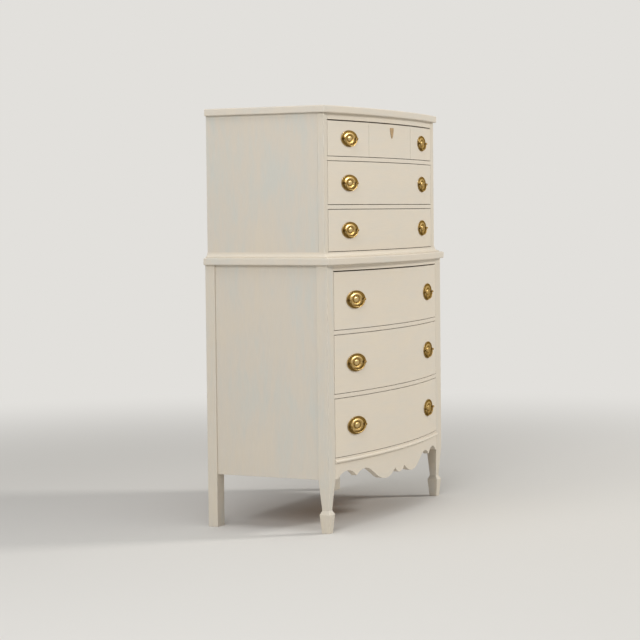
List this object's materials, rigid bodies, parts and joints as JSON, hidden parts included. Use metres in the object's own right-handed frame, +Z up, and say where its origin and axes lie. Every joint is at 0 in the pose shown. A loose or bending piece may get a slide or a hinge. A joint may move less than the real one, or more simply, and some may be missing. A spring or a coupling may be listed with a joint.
{
  "type": "tall dresser",
  "caption": "Painted bow-front tall dresser: a narrower chest on a wider one, drawers with oval bail pulls, scalloped apron, tapered front legs with spade feet.",
  "frame": {"origin": "middle of the footprint, on the floor", "axes": "+Z up, -Y out of the bowed front, +X to the right as one faces the front"},
  "size_m": [0.965, 0.505, 1.372],
  "materials": {
    "painted_wood": "brushed ivory paint, satin",
    "raw_wood": "bare secondary wood",
    "drawer_wood": "clear sealed drawer wood",
    "brass": "polished, lacquered",
    "dull_brass": "dull, worn"
  },
  "bodies": {
    "case": {"top_slab": "painted_wood", "upper_left_side": "painted_wood", "upper_right_side": "painted_wood", "upper_stiles": "painted_wood", "upper_rails": "painted_wood", "upper_bottom_board": "raw_wood", "upper_back_panel": "raw_wood", "cove_moulding": "painted_wood", "waist_slab": "painted_wood", "front_left_leg": "painted_wood", "rear_left_leg": "painted_wood", "left_side_panel": "painted_wood", "front_right_leg": "painted_wood", "rear_right_leg": "painted_wood", "right_side_panel": "painted_wood", "lower_rails": "painted_wood", "lower_back_panel": "raw_wood", "bead_moulding": "painted_wood", "scalloped_apron": "painted_wood", "upper_runners": "raw_wood", "lower_runners": "raw_wood", "drawer_stops": "raw_wood", "apron_glue_blocks": "raw_wood"},
    "drawer_1": {"drawer_1_front": "painted_wood", "drawer_1_box": "drawer_wood", "drawer_1_bottom": "drawer_wood", "drawer_1_pulls": "brass", "keyhole_plate": "dull_brass"},
    "drawer_1_left_bail": {"drawer_1_left_bail": "brass"},
    "drawer_1_right_bail": {"drawer_1_right_bail": "brass"},
    "drawer_2": {"drawer_2_front": "painted_wood", "drawer_2_box": "drawer_wood", "drawer_2_bottom": "drawer_wood", "drawer_2_pulls": "brass"},
    "drawer_2_left_bail": {"drawer_2_left_bail": "brass"},
    "drawer_2_right_bail": {"drawer_2_right_bail": "brass"},
    "drawer_3": {"drawer_3_front": "painted_wood", "drawer_3_box": "drawer_wood", "drawer_3_bottom": "drawer_wood", "drawer_3_pulls": "brass"},
    "drawer_3_left_bail": {"drawer_3_left_bail": "brass"},
    "drawer_3_right_bail": {"drawer_3_right_bail": "brass"},
    "drawer_4": {"drawer_4_front": "painted_wood", "drawer_4_box": "drawer_wood", "drawer_4_bottom": "drawer_wood", "drawer_4_pulls": "brass"},
    "drawer_4_left_bail": {"drawer_4_left_bail": "brass"},
    "drawer_4_right_bail": {"drawer_4_right_bail": "brass"},
    "drawer_5": {"drawer_5_front": "painted_wood", "drawer_5_box": "drawer_wood", "drawer_5_bottom": "drawer_wood", "drawer_5_pulls": "brass"},
    "drawer_5_left_bail": {"drawer_5_left_bail": "brass"},
    "drawer_5_right_bail": {"drawer_5_right_bail": "brass"},
    "drawer_6": {"drawer_6_front": "painted_wood", "drawer_6_box": "drawer_wood", "drawer_6_bottom": "drawer_wood", "drawer_6_pulls": "brass"},
    "drawer_6_left_bail": {"drawer_6_left_bail": "brass"},
    "drawer_6_right_bail": {"drawer_6_right_bail": "brass"}
  },
  "joints": [
    {"name": "drawer_1_slide", "type": "slide", "parent": "case", "child": "drawer_1", "axis": [0, -1, 0], "range_m": [0, 0.3]},
    {"name": "drawer_1_left_bail_swing", "type": "hinge", "parent": "drawer_1", "child": "drawer_1_left_bail", "pos_m": [-0.30085, -0.20017, 1.26925], "axis": [-0.9926, 0.1214, 0], "range_deg": [-6, 170]},
    {"name": "drawer_1_right_bail_swing", "type": "hinge", "parent": "drawer_1", "child": "drawer_1_right_bail", "pos_m": [0.30085, -0.20017, 1.26925], "axis": [-0.9926, -0.1214, 0], "range_deg": [-6, 170]},
    {"name": "drawer_2_slide", "type": "slide", "parent": "case", "child": "drawer_2", "axis": [0, -1, 0], "range_m": [0, 0.3]},
    {"name": "drawer_2_left_bail_swing", "type": "hinge", "parent": "drawer_2", "child": "drawer_2_left_bail", "pos_m": [-0.30085, -0.20017, 1.12575], "axis": [-0.9926, 0.1214, 0], "range_deg": [-6, 170]},
    {"name": "drawer_2_right_bail_swing", "type": "hinge", "parent": "drawer_2", "child": "drawer_2_right_bail", "pos_m": [0.30085, -0.20017, 1.12575], "axis": [-0.9926, -0.1214, 0], "range_deg": [-6, 170]},
    {"name": "drawer_3_slide", "type": "slide", "parent": "case", "child": "drawer_3", "axis": [0, -1, 0], "range_m": [0, 0.3]},
    {"name": "drawer_3_left_bail_swing", "type": "hinge", "parent": "drawer_3", "child": "drawer_3_left_bail", "pos_m": [-0.30085, -0.20017, 0.9725], "axis": [-0.9926, 0.1214, 0], "range_deg": [-6, 170]},
    {"name": "drawer_3_right_bail_swing", "type": "hinge", "parent": "drawer_3", "child": "drawer_3_right_bail", "pos_m": [0.30085, -0.20017, 0.9725], "axis": [-0.9926, -0.1214, 0], "range_deg": [-6, 170]},
    {"name": "drawer_4_slide", "type": "slide", "parent": "case", "child": "drawer_4", "axis": [0, -1, 0], "range_m": [0, 0.32]},
    {"name": "drawer_4_left_bail_swing", "type": "hinge", "parent": "drawer_4", "child": "drawer_4_left_bail", "pos_m": [-0.30097, -0.21846, 0.74725], "axis": [-0.9903, 0.1391, 0], "range_deg": [-6, 170]},
    {"name": "drawer_4_right_bail_swing", "type": "hinge", "parent": "drawer_4", "child": "drawer_4_right_bail", "pos_m": [0.30097, -0.21846, 0.74725], "axis": [-0.9903, -0.1391, 0], "range_deg": [-6, 170]},
    {"name": "drawer_5_slide", "type": "slide", "parent": "case", "child": "drawer_5", "axis": [0, -1, 0], "range_m": [0, 0.32]},
    {"name": "drawer_5_left_bail_swing", "type": "hinge", "parent": "drawer_5", "child": "drawer_5_left_bail", "pos_m": [-0.30097, -0.21846, 0.54175], "axis": [-0.9903, 0.1391, 0], "range_deg": [-6, 170]},
    {"name": "drawer_5_right_bail_swing", "type": "hinge", "parent": "drawer_5", "child": "drawer_5_right_bail", "pos_m": [0.30097, -0.21846, 0.54175], "axis": [-0.9903, -0.1391, 0], "range_deg": [-6, 170]},
    {"name": "drawer_6_slide", "type": "slide", "parent": "case", "child": "drawer_6", "axis": [0, -1, 0], "range_m": [0, 0.32]},
    {"name": "drawer_6_left_bail_swing", "type": "hinge", "parent": "drawer_6", "child": "drawer_6_left_bail", "pos_m": [-0.30097, -0.21846, 0.33625], "axis": [-0.9903, 0.1391, 0], "range_deg": [-6, 170]},
    {"name": "drawer_6_right_bail_swing", "type": "hinge", "parent": "drawer_6", "child": "drawer_6_right_bail", "pos_m": [0.30097, -0.21846, 0.33625], "axis": [-0.9903, -0.1391, 0], "range_deg": [-6, 170]}
  ]
}
